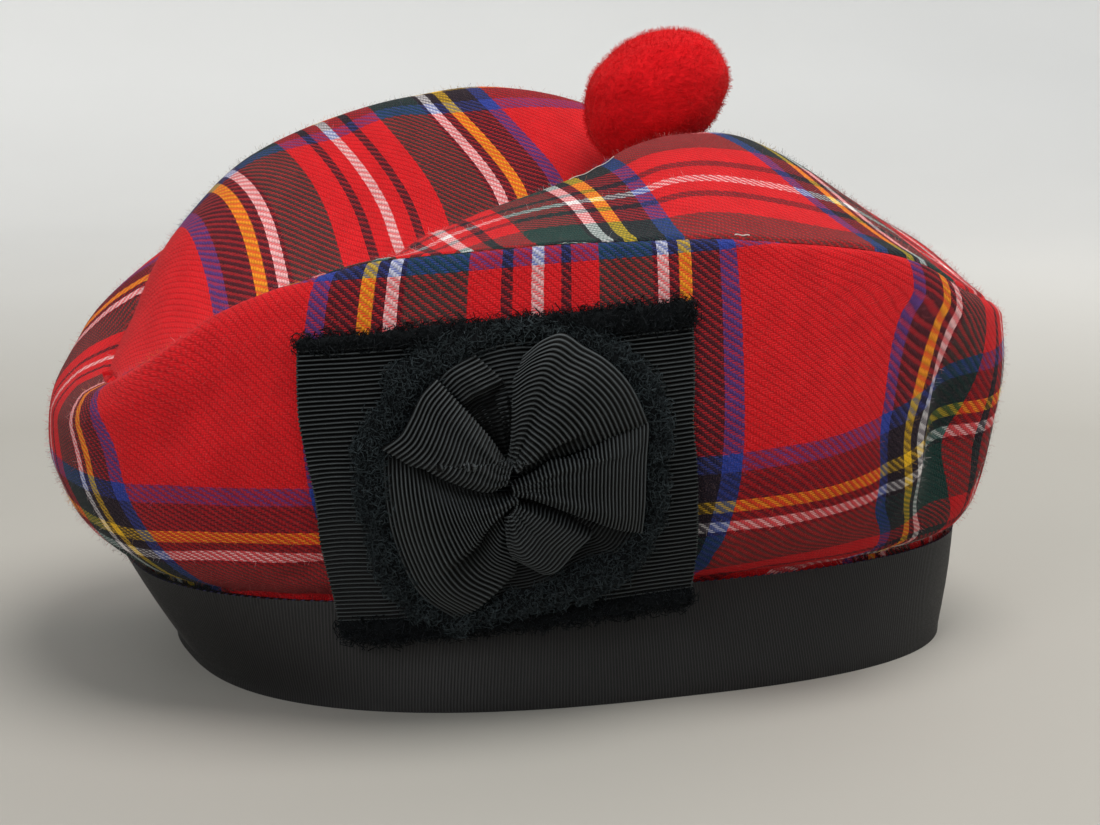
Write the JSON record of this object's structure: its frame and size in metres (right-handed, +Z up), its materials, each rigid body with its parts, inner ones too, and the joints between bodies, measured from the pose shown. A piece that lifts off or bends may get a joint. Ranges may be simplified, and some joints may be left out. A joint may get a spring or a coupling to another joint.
{
  "type": "tartan bonnet",
  "caption": "Round full-crowned cloth bonnet with a creased top panel, a bulging side panel tucked into a flared ribbon band, a wool pom and a frayed ribbon rosette on its side.",
  "frame": {"origin": "on the floor under the middle of the whole hat's box, level with the rim that the hat rests on", "axes": "+Z up through the crown, -Y toward the hat's front, +X toward the wearer's left, where the cockade is"},
  "size_m": [0.1912, 0.237, 0.1522],
  "materials": {
    "tartan": "matt wool twill in a red tartan",
    "ribbon": "black ribbed ribbon with a low sheen",
    "frayed_ribbon": "matt black loose threads",
    "pom_wool": "matt red wool, felted with short fuzz"
  },
  "bodies": {
    "root": {"headband": "ribbon", "side_panel": "tartan", "top_panel": "tartan", "pom": "pom_wool", "cockade_panel": "ribbon", "panel_fray_top": "frayed_ribbon", "panel_fray_bottom": "frayed_ribbon", "rosette_base": "ribbon", "rosette_fray": "frayed_ribbon", "petal_front_high": "ribbon", "petal_front_low": "ribbon", "petal_top": "ribbon", "petal_back_high": "ribbon", "petal_back": "ribbon", "petal_back_low": "ribbon"}
  },
  "joints": []
}
